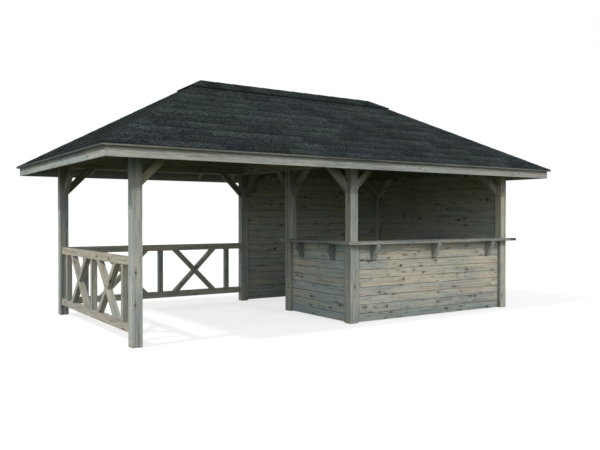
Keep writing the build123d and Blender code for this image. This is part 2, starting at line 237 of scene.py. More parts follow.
def nails(name, heads, size=NAIL_HEAD):
    """Low domed heads, given as pairs of a spot and the way it faces."""
    bm = bmesh.new()
    for spot, outward in heads:
        out = Vector(outward)
        turn = out.to_track_quat("Z", "Y").to_matrix().to_4x4()
        for low, high, top in ((-HEAD_ROOT, HEAD_RIM, size), (HEAD_RIM, HEAD_TOP, size * HEAD_FLAT)):
            place = Matrix.Translation(Vector(spot) + out * (low + high) / 2) @ turn
            bmesh.ops.create_cone(
                bm, cap_ends=True, segments=8, radius1=size, radius2=top, depth=high - low, matrix=place,
            )
    add_piece(name, bm, nail)


def end_screws(member, centre, axes, inset, spread):
    """Screw heads near both ends of a member, on its face away from the middle of the pavilion.

    axes are the member's own: its long way and the two across it.
    """
    way, side, third = axes
    away = Vector((centre.x / HALF_POST_PLAN[0], centre.y / HALF_POST_PLAN[1], 0))
    out = max((side, -side, third, -third), key=lambda w: round(w.dot(away), 3))
    across = way.cross(out)
    reach = max((v.co - centre).dot(way) for v in member) - inset
    depth = max((v.co - centre).dot(out) for v in member)
    offsets = (-spread, spread) if spread else (0,)
    return [
        (centre + out * depth + way * end * reach + across * offset, out)
        for end in (-1, 1) for offset in offsets
    ]


# Shader nodes

def new_material(name):
    """An empty node material with its principled shader."""
    material = bpy.data.materials.new(name)
    material.use_nodes = True
    tree = material.node_tree
    return material, tree, tree.nodes["Principled BSDF"]


def feed(tree, socket, value):
    """Give an input a plain value, or link it to another node's socket."""
    if isinstance(value, bpy.types.NodeSocket):
        tree.links.new(value, socket)
    else:
        socket.default_value = value


def put(tree, kind, settings=None, **inputs):
    """Add a node; inputs are values or sockets.

    They go by the input's name with _ for a space, or by i and its number.
    """
    node = tree.nodes.new(kind)
    for key, value in (settings or {}).items():
        setattr(node, key, value)
    for key, value in inputs.items():
        numbered = key[0] == "i" and key[1:].isdigit()
        feed(tree, node.inputs[int(key[1:]) if numbered else key.replace("_", " ")], value)
    return node


def calc(tree, operation, a, b=0.0, c=0.0):
    """A math node's result."""
    return put(tree, "ShaderNodeMath", {"operation": operation}, i0=a, i1=b, i2=c).outputs[0]


def vec(tree, operation, a, b=(0, 0, 0)):
    """A vector math node's result."""
    node = put(tree, "ShaderNodeVectorMath", {"operation": operation}, i0=a, i1=b)
    return node.outputs["Value" if operation == "LENGTH" else "Vector"]


def attribute(tree, name, output="Fac"):
    """What the mesh carries at its points under a name."""
    return put(tree, "ShaderNodeAttribute", {"attribute_name": name}).outputs[output]


def object_place(tree):
    """Where a point lies on the pavilion, in metres."""
    return put(tree, "ShaderNodeTexCoord").outputs["Object"]


def axis(tree, vector, name):
    """One part of a vector, X, Y or Z."""
    return put(tree, "ShaderNodeSeparateXYZ", None, Vector=vector).outputs[name]


def cloud(tree, vector, stretch=(1, 1, 1), detail=3.0, rough=0.55, warp=0.0):
    """Soft noise from 0 to 1; stretch is how many cells it has to a metre along each axis."""
    stretched = vec(tree, "MULTIPLY", vector, stretch)
    return put(
        tree, "ShaderNodeTexNoise", None,
        Vector=stretched, Scale=1.0, Detail=detail, Roughness=rough, Distortion=warp,
    ).outputs["Fac"]


def ease(tree, value, low, high, to_low=0.0, to_high=1.0):
    """A value's range spread smoothly over another one."""
    return put(
        tree, "ShaderNodeMapRange", {"interpolation_type": "SMOOTHSTEP"},
        Value=value, From_Min=low, From_Max=high, To_Min=to_low, To_Max=to_high,
    ).outputs["Result"]


def blend(tree, factor, a, b, kind="MIX"):
    """Mix two colours."""
    node = tree.nodes.new("ShaderNodeMix")
    node.data_type = "RGBA"
    node.blend_type = kind
    for socket, value in ((node.inputs["Factor"], factor), (node.inputs[6], a), (node.inputs[7], b)):
        feed(tree, socket, value)
    return node.outputs[2]


def tinted(tree, colour, tint, amount, strength=1.0):
    """A colour multiplied by a tint where amount is 1, and as it was where amount is 0."""
    if strength != 1.0:
        amount = calc(tree, "MULTIPLY", amount, strength)
    return blend(tree, amount, colour, (*tint, 1), "MULTIPLY")


def srgb(r, g, b):
    """A colour written as it looks on the screen, 0 to 255."""
    def lin(c):
        c /= 255
        return c / 12.92 if c <= 0.04045 else ((c + 0.055) / 1.055) ** 2.4
    return (lin(r), lin(g), lin(b), 1.0)


def scaled(tree, colour, factor):
    """A colour made lighter or darker by a factor."""
    node = put(tree, "ShaderNodeVectorMath", {"operation": "SCALE"}, i0=colour, Scale=factor)
    return node.outputs["Vector"]


def product(tree, *factors):
    """Several factors multiplied together."""
    result = factors[0]
    for factor in factors[1:]:
        result = calc(tree, "MULTIPLY", result, factor)
    return result


def add_relief(tree, shader, height, strength, distance):
    """Fine relief on a material's surface."""
    bump = put(tree, "ShaderNodeBump", None, Strength=strength, Distance=distance, Height=height)
    tree.links.new(bump.outputs["Normal"], shader.inputs["Normal"])


# Wood

# Tints of weathered wood, and one of painted shade
PINKISH = (1.02, 0.87, 0.80)
BLUISH = (0.86, 0.95, 1.03)
KNOT_TAIL = (0.50, 0.45, 0.40)
KNOT_HALO = (0.64, 0.54, 0.46)
CRACK = (0.20, 0.18, 0.16)
JOINT_DIRT = (0.16, 0.155, 0.14)
ALGAE = (0.84, 0.88, 0.60)
WET_FOOT = (0.60, 0.68, 0.72)
# Painted shade at the top of the fascia, under the roof boards' edge
EAVE_SHADE_TINT = (0.66, 0.68, 0.66)
# Darker and bluer: the front counter's end past the front right post
DARK_END_TINT = (0.34, 0.38, 0.45)

KNOT_HEART = (0.018, 0.014, 0.011, 1)
LOG_BLOCKS = (8.5, 12.0, 15.0)   # blocks to a metre along and across the log, for its knots


def knot_marks(tree, grain, size, knotty):
    """Knots: one at most in each block of the log, cut open where it meets a face.

    Gives the knot, the halo round it and the tail that it draws along the grain, each from 0 to 1.
    """
    blocks = Vector(LOG_BLOCKS) * knotty
    block = vec(tree, "MULTIPLY", grain, blocks)
    cell = put(
        tree, "ShaderNodeTexVoronoi", {"feature": "F1", "voronoi_dimensions": "3D"},
        Vector=block, Scale=1.0, Randomness=0.95,
    )
    back = Vector((1 / c for c in blocks))
    away = vec(tree, "MULTIPLY", vec(tree, "SUBTRACT", cell.outputs["Position"], block), back)
    ragged = calc(tree, "MULTIPLY", cloud(tree, grain, (70, 70, 70), 2.0), 0.007)
    chance = put(tree, "ShaderNodeSeparateColor", None, Color=cell.outputs["Color"]).outputs
    seed = calc(tree, "MAXIMUM", calc(tree, "MULTIPLY_ADD", chance["Red"], 1.3, -0.3), 0.0)
    radius = calc(tree, "MULTIPLY_ADD", calc(tree, "POWER", seed, 1.6), 0.021 * size, 0.0012)
    reach = calc(tree, "DIVIDE", calc(tree, "ADD", vec(tree, "LENGTH", away), ragged), radius)
    dark = ease(tree, chance["Green"], 0.1, 0.7, 0.50, 1.0)
    knot = calc(tree, "MULTIPLY", ease(tree, reach, 1.2, 0.80), dark)
    halo = ease(tree, reach, 3.2, 0.9)
    drawn = vec(tree, "LENGTH", vec(tree, "MULTIPLY", away, (0.22, 1.5, 1.5)))
    tail = ease(tree, calc(tree, "DIVIDE", calc(tree, "ADD", drawn, ragged), radius), 2.1, 0.7)
    return knot, halo, tail


def growth_rings(tree, grain, halo):
    """Growth rings of the log, which swing round the knots."""
    wander = cloud(tree, grain, (1.5, 10.0, 10.0), 3.0)
    swing = calc(tree, "ADD", calc(tree, "MULTIPLY", wander, 0.06), calc(tree, "MULTIPLY", halo, 0.014))
    less = calc(tree, "MULTIPLY", swing, 0.7)
    offset = put(tree, "ShaderNodeCombineXYZ", None, X=0.0, Y=swing, Z=less).outputs[0]
    bent = vec(tree, "ADD", vec(tree, "MULTIPLY", grain, (0.03, 1.0, 1.0)), offset)
    return put(
        tree, "ShaderNodeTexWave", {"wave_type": "RINGS", "rings_direction": "X", "wave_profile": "SAW"},
        Vector=bent, Scale=44.0, Distortion=1.6, Detail=2.0, Detail_Scale=2.0,
    ).outputs["Fac"]


def drying_cracks(tree, grain, shakes):
    """Checks, which are short splits along the grain, and shakes, which are long ones."""
    check = ease(tree, cloud(tree, grain, (2.2, 90.0, 90.0), 2.0, 0.4), 0.69, 0.75)
    if not shakes:
        return check
    shake = ease(tree, cloud(tree, grain, (0.25, 48.0, 48.0), 1.0, 0.3), 0.655, 0.69, 0.0, shakes)
    return calc(tree, "MAXIMUM", check, shake)


def weathered(tree, grain, patch, warm, grey):
    """Warm where the wood is fresher, pinkish and bluish in places, grey elsewhere."""
    tone = attribute(tree, "tone")
    band = cloud(tree, grain, (0.9, 12.0, 12.0), 3.0, 0.5)
    blush = cloud(tree, grain, (1.2, 24.0, 24.0), 3.0, 0.6)
    age = calc(tree, "ADD", calc(tree, "MULTIPLY", band, 1.5), calc(tree, "MULTIPLY", patch, 1.1))
    age = calc(tree, "ADD", age, calc(tree, "MULTIPLY", tone, 0.6))
    colour = blend(tree, ease(tree, age, 1.20, 1.95), warm, grey)
    colour = tinted(tree, colour, PINKISH, ease(tree, blush, 0.52, 0.70, 0.0, 0.8))
    return tinted(tree, colour, BLUISH, ease(tree, blush, 0.46, 0.28, 0.0, 0.8))


def figure(tree, grain, rings, streak, fibre, contrast):
    """How light or dark the rings, streaks and fibres make the wood."""
    late = calc(tree, "POWER", rings, 2.0)
    dash = cloud(tree, grain, (7.0, 120.0, 120.0), 3.0, 0.6)
    return product(
        tree,
        ease(tree, late, 0.0, 1.0, 1.0 + 0.06 * contrast, 1.0 - 0.22 * contrast),
        ease(tree, streak, 0.50, 0.70, 1.0, 1.0 - 0.46 * contrast),
        ease(tree, streak, 0.46, 0.28, 1.0, 1.0 + 0.22 * contrast),
        ease(tree, dash, 0.40, 0.72, 1.0 + 0.05 * contrast, 1.0 - 0.22 * contrast),
        ease(tree, fibre, 0.35, 0.75, 1.0, 1.0 - 0.18 * contrast),
    )


def wood(
    name, warm, grey, knots=1.0, knotty=1.0, contrast=1.0, shakes=0.0, damp=0.0, green=0.0,
    eave_shade=None, dark_end_x=None, painted_shade=None, gloss=0.22,
):
    """Weathered softwood: warm and grey stretches, growth rings, streaks, checks and knots.

    knots is their size and knotty how close together they are. shakes are long drying cracks.
    damp is how dark the wood is near the ground, and green how much algae it has in patches.
    eave_shade is the height above which painted shade of the roof boards' edge darkens the wood,
    and dark_end_x the x beyond which it is dark and bluish. painted_shade is the height where
    painted shade under a roof or counter begins, the height where it is full, and its tint.
    """
    material, tree, shader = new_material(name)
    grain = attribute(tree, "grain", "Vector")
    place = object_place(tree)
    fibre = cloud(tree, grain, (11.0, 420.0, 420.0), 3.0, 0.6)
    streak = cloud(tree, grain, (1.6, 42.0, 42.0), 5.0, 0.68)
    patch = cloud(tree, place, (1.3, 1.3, 1.8), 4.0, 0.6, 0.4)
    knot, halo, tail = knot_marks(tree, grain, knots, knotty)
    rings = growth_rings(tree, grain, halo)
    crack = drying_cracks(tree, grain, shakes)

    colour = weathered(tree, grain, patch, warm, grey)
    colour = scaled(tree, colour, figure(tree, grain, rings, streak, fibre, contrast))
    colour = tinted(tree, colour, KNOT_TAIL, tail, 0.62)
    colour = tinted(tree, colour, KNOT_HALO, halo, 0.30)
    colour = blend(tree, calc(tree, "MULTIPLY", knot, 0.92), colour, KNOT_HEART)
    colour = tinted(tree, colour, CRACK, crack, 0.80)
    dirty = ease(tree, cloud(tree, place, (2.6, 2.6, 9.0), 3.0, 0.6), 0.34, 0.64, 0.15, 0.80)
    colour = tinted(tree, colour, JOINT_DIRT, product(tree, attribute(tree, "seam"), dirty))
    if green:
        colour = tinted(tree, colour, ALGAE, ease(tree, patch, 0.35, 0.65, 0.4 * green, green))
    if damp:
        wet = calc(tree, "ADD", axis(tree, place, "Z"), calc(tree, "MULTIPLY", patch, 0.25))
        colour = tinted(tree, colour, WET_FOOT, ease(tree, wet, 0.42, 0.12, 0.0, damp))
    # Painted shade at the top of the fascia, where the roof boards' edge shades it, with a streaky lower
    # edge
    if eave_shade:
        shade_streaks = cloud(tree, place, (9.0, 9.0, 1.0), 3.0, 0.6)
        edge = calc(tree, "MULTIPLY_ADD", shade_streaks, 0.030, axis(tree, place, "Z"))
        colour = tinted(tree, colour, EAVE_SHADE_TINT, ease(tree, edge, eave_shade + 0.008, eave_shade + 0.034))
    # Darker and bluer beyond an x, for the counter's end past the front right post
    if dark_end_x:
        out = calc(tree, "ADD", axis(tree, place, "X"), calc(tree, "MULTIPLY", streak, 0.05))
        out = ease(tree, out, dark_end_x, dark_end_x + 0.05)
        colour = tinted(tree, colour, DARK_END_TINT, out)
    # Painted shade: darker and tinted from one height up to another, under the roof or a counter
    if painted_shade:
        begin, full, tint = painted_shade
        wavy = calc(tree, "MULTIPLY_ADD", patch, 0.12, -0.06)
        edge = calc(tree, "ADD", axis(tree, place, "Z"), wavy)
        colour = tinted(tree, colour, tint, ease(tree, edge, begin, full))
    tree.links.new(colour, shader.inputs["Base Color"])
    shader.inputs["Specular IOR Level"].default_value = gloss
    tree.links.new(ease(tree, streak, 0.3, 0.8, 0.78, 0.95), shader.inputs["Roughness"])

    height = calc(tree, "MULTIPLY", rings, 0.30)
    height = calc(tree, "ADD", height, calc(tree, "MULTIPLY", fibre, 0.35))
    height = calc(tree, "ADD", height, calc(tree, "MULTIPLY", streak, 0.6))
    height = calc(tree, "SUBTRACT", height, calc(tree, "MULTIPLY", crack, 1.6))
    height = calc(tree, "SUBTRACT", height, calc(tree, "MULTIPLY", knot, 0.5))
    add_relief(tree, shader, height, 0.6, 0.0016)
    return material


# Roof felt and metal

def felt(name, bluish, greenish):
    """Mineral-surfaced shingle: granules in clumps, a tone to each tab and greener stretches."""
    material, tree, shader = new_material(name)
    tone = attribute(tree, "tone")
    grain = attribute(tree, "grain", "Vector")
    place = object_place(tree)
    grit = put(tree, "ShaderNodeTexVoronoi", {"feature": "F1"}, Vector=place, Scale=300.0)
    fleck = put(tree, "ShaderNodeSeparateColor", None, Color=grit.outputs["Color"]).outputs["Green"]
    clump = cloud(tree, place, (50, 50, 50), 2.0, 0.6)
    crumb = cloud(tree, place, (150, 150, 150), 3.0, 0.7)
    drift = cloud(tree, place, (16, 16, 16), 3.0, 0.6)
    stretch = cloud(tree, place, (0.9, 0.9, 0.9), 3.0, 0.55, 0.5)
    greener = calc(tree, "ADD", stretch, calc(tree, "MULTIPLY", tone, 0.10))
    colour = blend(tree, ease(tree, greener, 0.50, 0.66), bluish, greenish)
    shade = product(
        tree,
        ease(tree, tone, 0.0, 1.0, 0.74, 1.26),
        ease(tree, clump, 0.34, 0.66, 0.35, 1.65),
        ease(tree, crumb, 0.36, 0.64, 0.45, 1.55),
        ease(tree, drift, 0.30, 0.70, 0.84, 1.16),
        ease(tree, fleck, 0.0, 1.0, 0.70, 1.30),
        ease(tree, axis(tree, grain, "Z"), 0.0, 0.18, 0.88, 1.12),
    )
    tree.links.new(scaled(tree, colour, shade), shader.inputs["Base Color"])
    shader.inputs["Roughness"].default_value = 0.95
    shader.inputs["Specular IOR Level"].default_value = 0.0
    height = calc(tree, "SUBTRACT", calc(tree, "MULTIPLY", crumb, 1.4), grit.outputs["Distance"])
    add_relief(tree, shader, height, 0.8, 0.0018)
    return material


def bitumen():
    """The black cut edge of a shingle, dull and a little dusty."""
    material, tree, shader = new_material("bitumen_edge")
    dust = cloud(tree, object_place(tree), (90, 90, 90), 3.0, 0.7)
    colour = blend(tree, ease(tree, dust, 0.35, 0.75), srgb(16, 17, 18), srgb(40, 43, 44))
    tree.links.new(colour, shader.inputs["Base Color"])
    shader.inputs["Roughness"].default_value = 0.8
    shader.inputs["Specular IOR Level"].default_value = 0.2
    add_relief(tree, shader, dust, 0.4, 0.001)
    return material


def nail_metal():
    """Dull zinc with a touch of rust."""
    material, tree, shader = new_material("nail_metal")
    spot = cloud(tree, object_place(tree), (220, 220, 220), 2.0)
    colour = blend(tree, ease(tree, spot, 0.35, 0.65), srgb(58, 52, 48), srgb(92, 88, 84))
    tree.links.new(colour, shader.inputs["Base Color"])
    shader.inputs["Metallic"].default_value = 0.6
    shader.inputs["Roughness"].default_value = 0.6
    return material


# The materials, each wood with its warm and its grey colour
# Several woods below get painted shade towards the roof or, on the side wall, up to its counter
post_wood = wood(
    "post_wood", srgb(184, 181, 167), srgb(148, 156, 153),
    knots=0.8, contrast=0.85, shakes=0.7, damp=0.2, painted_shade=(1.78, 2.10, (0.62, 0.60, 0.46)),
)
# The front left post's own wood, with deeper painted shade under the roof
near_post_wood = wood(
    "near_post_wood", srgb(183, 179, 167), srgb(147, 155, 154),
    knots=0.6, contrast=0.7, shakes=0.5, damp=0.2, painted_shade=(1.60, 2.10, (0.40, 0.46, 0.44)),
)
# The back right post's wood, lighter and without shade: painted light for the dim back corner
corner_post_wood = wood(
    "corner_post_wood", srgb(200, 196, 178), srgb(164, 171, 164),
    knots=0.8, contrast=0.85, shakes=0.7, damp=0.2,
)
frame_wood = wood(
    "frame_wood", srgb(168, 164, 144), srgb(130, 139, 130),
    knots=0.8, painted_shade=(1.92, 2.06, (0.50, 0.49, 0.38)),
)
# Lighter where warm: painted light for the braces in the dim back of the pavilion
back_frame_wood = wood("back_frame_wood", srgb(192, 190, 162), srgb(117, 121, 104), knots=0.8)
roof_wood = wood("roof_wood", srgb(150, 148, 120), srgb(122, 128, 108), knots=0.8, green=0.5)
shaded_wood = wood(
    "shaded_wood", srgb(116, 114, 92), srgb(96, 100, 84), knots=0.8, green=0.5, gloss=0.0,
)
# The fascia's top gets painted shade under the roof boards' edge
fascia_wood = wood(
    "fascia_wood", srgb(174, 172, 163), srgb(150, 157, 155), knots=0.6, contrast=0.8, eave_shade=2.085,
)
edge_wood = wood("edge_wood", srgb(122, 123, 116), srgb(76, 80, 78), knots=0.6, contrast=0.8)
wall_wood = wood(
    "wall_wood", srgb(196, 188, 170), srgb(162, 166, 160),
    knots=1.1, knotty=1.2, contrast=0.8, damp=0.7,
)
side_wood = wood(
    "side_wood", srgb(190, 188, 172), srgb(166, 178, 178),
    contrast=0.8, damp=0.3, painted_shade=(0.92, 1.07, (0.74, 0.84, 0.88)),
)
# The inside walls' wood, made lighter as painted light for the dim inside, with painted shade towards
# the roof
inner_wood = wood(
    "inner_wood", srgb(176, 176, 160), srgb(154, 164, 160),
    knots=0.95, contrast=0.8, painted_shade=(1.1, 2.1, (0.97, 0.95, 0.68)),
)
counter_wood = wood(
    "counter_wood", srgb(156, 154, 145), srgb(129, 136, 134), knots=0.7, dark_end_x=3.03,
)
bracket_wood = wood("bracket_wood", srgb(156, 159, 152), srgb(128, 135, 133), knots=0.6)
batten_wood = wood("batten_wood", srgb(164, 162, 150), srgb(132, 137, 134), knots=0.6)
rail_wood = wood("rail_wood", srgb(167, 161, 148), srgb(141, 146, 140))
back_rail_wood = wood("back_rail_wood", srgb(178, 176, 158), srgb(144, 152, 146), knots=0.8)
shingle_felt = felt("shingle_felt", srgb(42, 46, 49), srgb(41, 47, 47))
# The left slope's felt, darker as painted shade on that slope
dark_felt = felt("dark_felt", srgb(34, 38, 40), srgb(33, 38, 38))
cap_felt = felt("cap_felt", srgb(36, 41, 42), srgb(35, 42, 41))
cut_edge = bitumen()
nail = nail_metal()


# Timber frame, each node with its seed

posts = {
    "front_left_post": (near_post_wood, 0.57),
    "front_middle_post": (post_wood, 0.42),
    "front_right_post": (post_wood, -0.8),
    "back_left_post": (post_wood, 0.85),
    "back_middle_post": (post_wood, 0.6),
    "back_right_post": (corner_post_wood, -0.4),
    "centre_post": (post_wood, 0.6),
}
for i, (node, (material, tone)) in enumerate(posts.items()):
    dress(node, material, 11 + i, tones=(tone, tone))
for i, node in enumerate(["front_beam", "back_beam", "left_beam", "right_beam", "middle_beam"]):
    dress(node, shaded_wood if node == "left_beam" else roof_wood, 31 + i)

# Knee braces, toned one by one, some in a darker wood as painted shade and some in a lighter one as
# painted light
dress(
    "knee_braces_front", frame_wood, 41, screws=BRACE_SCREWS,
    tone_at=lambda centre: -0.2 if centre.x < -2 else 0.5,
)
dress(
    "knee_braces_back", back_frame_wood, 42, screws=BRACE_SCREWS,
    tone_at=lambda centre: 1.1 if centre.x < 0 else 0.7 if centre.x < 2 else 0.2,
)
dress(
    "knee_braces_ends", frame_wood, 43, screws=BRACE_SCREWS,
    tone_at=lambda centre: 0.5 if centre.x < 0 else -1.4,
    others=[
        (back_frame_wood, lambda centre: centre.x > 0),
        (shaded_wood, lambda centre: centre.x < 0 and centre.y < 0),
    ],
)
dress(
    "knee_braces_middle", frame_wood, 44, screws=BRACE_SCREWS,
    tone_at=lambda centre: 0.4 if centre.y < -1 else 0.9 if centre.y < 1 else 1.6,
    others=[(back_frame_wood, lambda centre: centre.y > -1)],
)

for i, node in enumerate(["ridge_board", "hip_rafters", "common_rafters", "jack_rafters"]):
    dress(node, roof_wood, 51 + i)
for i, (side, tone) in enumerate({"front": 0.4, "back": 0.5, "left": 0.9, "right": 0.6}.items()):
    dress(side + "_fascia", fascia_wood, 61 + i, tones=(tone, tone), arris=THIN_ARRIS)
# The batten beside the front right post is greyer and darker: painted shade
dress(
    "wall_battens", batten_wood, 71,
    tone_at=lambda centre: 1.3 if centre.x > 2.5 and centre.y < -1 else -0.2,
)

# Counter and railings
dress("counter_front", counter_wood, 81, tones=(0.3, 0.6), arris=THIN_ARRIS)
dress("counter_side", counter_wood, 82, tones=(0.5, 0.8), arris=THIN_ARRIS)
# The side counter's brackets are greyer and darker: painted shade
dress("counter_brackets", bracket_wood, 83, tone_at=lambda centre: 1.6 if centre.x < 0 else -0.6)
dress("left_railing_rails", rail_wood, 91, tones=(0.0, 0.4), screws=RAIL_SCREWS)
dress("left_railing_infill", rail_wood, 92, tones=(-0.2, 0.5), screws=INFILL_SCREWS)
dress("back_railing_rails", back_rail_wood, 93, screws=RAIL_SCREWS)
dress("back_railing_infill", back_rail_wood, 94, screws=INFILL_SCREWS)


# Boarded walls

def board_seams(bottom, top):
    """Heights of the boards' edges in a wall of lying boards, which are counted up from the ground."""
    seams = [bottom]
    while seams[-1] + TOP_BOARD < top:
        seams.append(BOARD * (round(seams[-1] / BOARD) + 1))
    return seams + [top]


def board(bm, start, along, across, length, thick, low, high, rng, tone):
    """One wall board: a tongue in the middle and an open joint along both edges."""
    lip, arris, tongue, stain = BOARD_LIP, BOARD_ARRIS, BOARD_TONGUE, BOARD_STAIN
    # Half of the section as depth, height above the lower edge and how dark the joint is there
    half = [
        (0, stain, 0.0), (0, lip + arris, 0.7), (arris, lip, 1.0), (tongue, lip, 1.0), (tongue, 0, 1.0),
        (thick - tongue, 0, 1.0), (thick - tongue, lip, 1.0), (thick - arris, lip, 1.0),
        (thick, lip + arris, 0.7), (thick, stain, 0.0),
    ]
    profile = [(p, low + q, dark) for p, q, dark in half]
    profile += [(p, high - q, dark) for p, q, dark in reversed(half)]
    steps = max(2, round(length / BOARD_CUP_STEP))
    cup = [rng.uniform(-BOARD_CUP, BOARD_CUP) for _ in range(steps + 1)]
    seam = bm.verts.layers.float["seam"]
    rings = []
    for i in range(steps + 1):
        base = start + along * (length * i / steps)
        ring = [bm.verts.new(base + across * (p + cup[i]) + UP * q) for p, q, _ in profile]
        for v, (_, _, dark) in zip(ring, profile):
            v[seam] = dark
        rings.append(ring)
    count = len(profile)
    for one, two in zip(rings, rings[1:]):
        for j in range(count):
            k = (j + 1) % count
            bm.faces.new((one[j], one[k], two[k], two[j]))
    bm.faces.new(rings[0])
    bm.faces.new(list(reversed(rings[-1])))
    shift = log_offset(rng)
    middle = (low + high) / 2
    verts = [v for ring in rings for v in ring]
    mark(bm, verts, lambda co: Vector((
        (co - start).dot(along), (co - start).dot(across) - thick / 2, (co - start).dot(UP) - middle,
    )) + shift, tone)


def board_wall(node, material, seed, outward, tones):
    """A wall of lying boards in the place of its CAD plate; tones are for the lowest boards."""
    rng = random.Random(seed)
    low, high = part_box(node)
    size = high - low
    along = Vector((1, 0, 0)) if size.x > size.y else Vector((0, 1, 0))
    length = max(size.x, size.y)
    thick = min(size.x, size.y)
    across = -Vector(outward)
    start = Vector((high.x if outward[0] > 0 else low.x, high.y if outward[1] > 0 else low.y, 0))
    seams = board_seams(low.z, high.z)
    bm = new_bmesh()
    for i, (bottom, top) in enumerate(zip(seams, seams[1:])):
        tone = tones[i] if i < len(tones) else rng.uniform(0.35, 0.65)
        board(bm, start, along, across, length, thick, bottom, top, rng, tone)
    add_piece(node + "_boards", bm, material, [node])


board_wall(
    "bar_front_wall", wall_wood, 101, (0, -1, 0), [0.75, 0.65, 0.45, 0.25, 0.35, 0.2, 0.3, 0.45, 0.4],
)
board_wall("bar_side_wall", side_wood, 102, (-1, 0, 0), [0.8, 0.7, 0.6, 0.7, 0.5, 0.7, 0.6])
board_wall("back_wall", inner_wood, 103, (0, 1, 0), [0.9, 0.8])
board_wall("right_wall", inner_wood, 104, (1, 0, 0), [0.9, 0.8])


# Nails

def wall_nails(node, outward, inset):
    """Two nails in every board, inset from both ends and at the studs between."""
    rng = random.Random(node)
    low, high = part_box(node)
    way = 0 if high.x - low.x > high.y - low.y else 1
    first, last = low[way] + inset, high[way] - inset
    bays = max(1, round((last - first) / STUD_STEP))
    face = (high if sum(outward) > 0 else low)[1 - way]
    heads = []
    for seam in board_seams(low.z, high.z)[:-1]:
        for i in range(bays + 1):
            for up in (WALL_NAIL, BOARD - WALL_NAIL):
                if seam + up > high.z - TOP_NAIL:
                    continue
                a = first + (last - first) * i / bays + rng.uniform(-NAIL_SCATTER[0], NAIL_SCATTER[0])
                height = seam + up + rng.uniform(-NAIL_SCATTER[1], NAIL_SCATTER[1])
                heads.append(((a, face, height) if way == 0 else (face, a, height), outward))
    nails(node + "_nails", heads)


wall_nails("bar_front_wall", (0, -1, 0), inset=0.06)
wall_nails("bar_side_wall", (-1, 0, 0), inset=0.06)
wall_nails("back_wall", (0, 1, 0), inset=0.04)
wall_nails("right_wall", (1, 0, 0), inset=0.04)


def fascia_nails(side, outward):
    """A pair of nails in the fascia at each rafter's end."""
    low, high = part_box(side + "_fascia")
    way = 0 if outward[1] else 1
    face = (high if sum(outward) > 0 else low)[1 - way]
    reach = int((high[way] - FASCIA_END) / RAFTER_STEP)
    heads = []
    for k in range(-reach, reach + 1):
        for up in FASCIA_NAILS:
            spot = [0, 0, low.z + up]
            spot[way], spot[1 - way] = k * RAFTER_STEP, face
            heads.append((spot, outward))
    nails(side + "_fascia_nails", heads)


fascia_nails("front", (0, -1, 0))
fascia_nails("back", (0, 1, 0))
fascia_nails("left", (-1, 0, 0))
fascia_nails("right", (1, 0, 0))


# Roof

roof_low, roof_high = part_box("front_roof_boards")
felt_low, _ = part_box("front_shingles")
X_EAVE = roof_high.x
Y_EAVE = -roof_low.y
EAVE = roof_low.z
BOARD_LIFT = felt_low.z - roof_low.z     # plumb thickness of the roof boards
SLOPE = (roof_high.z - felt_low.z) / Y_EAVE
COS = math.cos(math.atan(SLOPE))
DEEP = Y_EAVE                            # from the eave in to the ridge, in plan
HALF = {"front": X_EAVE, "back": X_EAVE, "left": Y_EAVE, "right": Y_EAVE}
NO_SHIFT = Vector((0, 0, 0))


def on_slope(side, a, d, lift):
    """A point of a slope: a along the eave and d in from it in plan, lift plumb above its boards."""
    z = EAVE + d * SLOPE + lift
    if side == "front":
        return Vector((a, -Y_EAVE + d, z))
    if side == "back":
        return Vector((-a, Y_EAVE - d, z))
    if side == "left":
        return Vector((-X_EAVE + d, -a, z))
    return Vector((X_EAVE - d, a, z))


def strip(a0, a1, d0, d1):
    """A rectangle on a slope, as an outline."""
    return [(a0, d0), (a1, d0), (a1, d1), (a0, d1)]


def apart(p, q):
    """Whether two corners of an outline are far enough apart to be kept as two."""
    return max(abs(p[0] - q[0]), abs(p[1] - q[1])) > 0.002


def clip(points, side):
    """Cut an outline on a slope at both hips, the ridge and the eave."""
    half = HALF[side]
    tests = [
        lambda p: half - p[1] - p[0],
        lambda p: half - p[1] + p[0],
        lambda p: DEEP - p[1],
        lambda p: p[1],
    ]
    for test in tests:
        kept = []
        for i, p in enumerate(points):
            q = points[(i + 1) % len(points)]
            a, b = test(p), test(q)
            if a >= 0:
                kept.append(p)
            if (a > 0 > b) or (a < 0 < b):
                t = a / (a - b)
                kept.append((p[0] + (q[0] - p[0]) * t, p[1] + (q[1] - p[1]) * t))
        points = kept
        if len(points) < 3:
            return []
    clean = []
    for p in points:
        if not clean or apart(p, clean[-1]):
            clean.append(p)
    if len(clean) > 2 and not apart(clean[0], clean[-1]):
        clean.pop()
    return clean if len(clean) > 2 else []


def slab(bm, side, outline, low, high, tone, shift, rim=0):
    """A thin plate on a slope.

    low and high give its plumb heights at a point (a, d), and rim is its edges' material.
    """
    bottom = [bm.verts.new(on_slope(side, a, d, low(a, d))) for a, d in outline]
    top = [bm.verts.new(on_slope(side, a, d, high(a, d))) for a, d in outline]
    bm.faces.new(list(reversed(bottom)))
    bm.faces.new(top)
    for i in range(len(outline)):
        k = (i + 1) % len(outline)
        bm.faces.new((bottom[i], bottom[k], top[k], top[i])).material_index = rim
    grain = bm.verts.layers.float_vector["grain"]
    shade = bm.verts.layers.float["tone"]
    for ring, height in ((bottom, 0.0), (top, LINING_GRAIN)):
        for v, (a, d) in zip(ring, outline):
            v[grain] = Vector((a, height, d / COS)) + shift
            v[shade] = tone


def taper(share):
    """What is left of a height that runs out evenly as share goes from 0 to 1."""
    return 1 - min(1, max(0, share))


def felt_tone(rng, spread=0.27):
    """The tone of one shingle, from 0 to 1."""
    return min(1.0, max(0.0, rng.gauss(0.5, spread)))


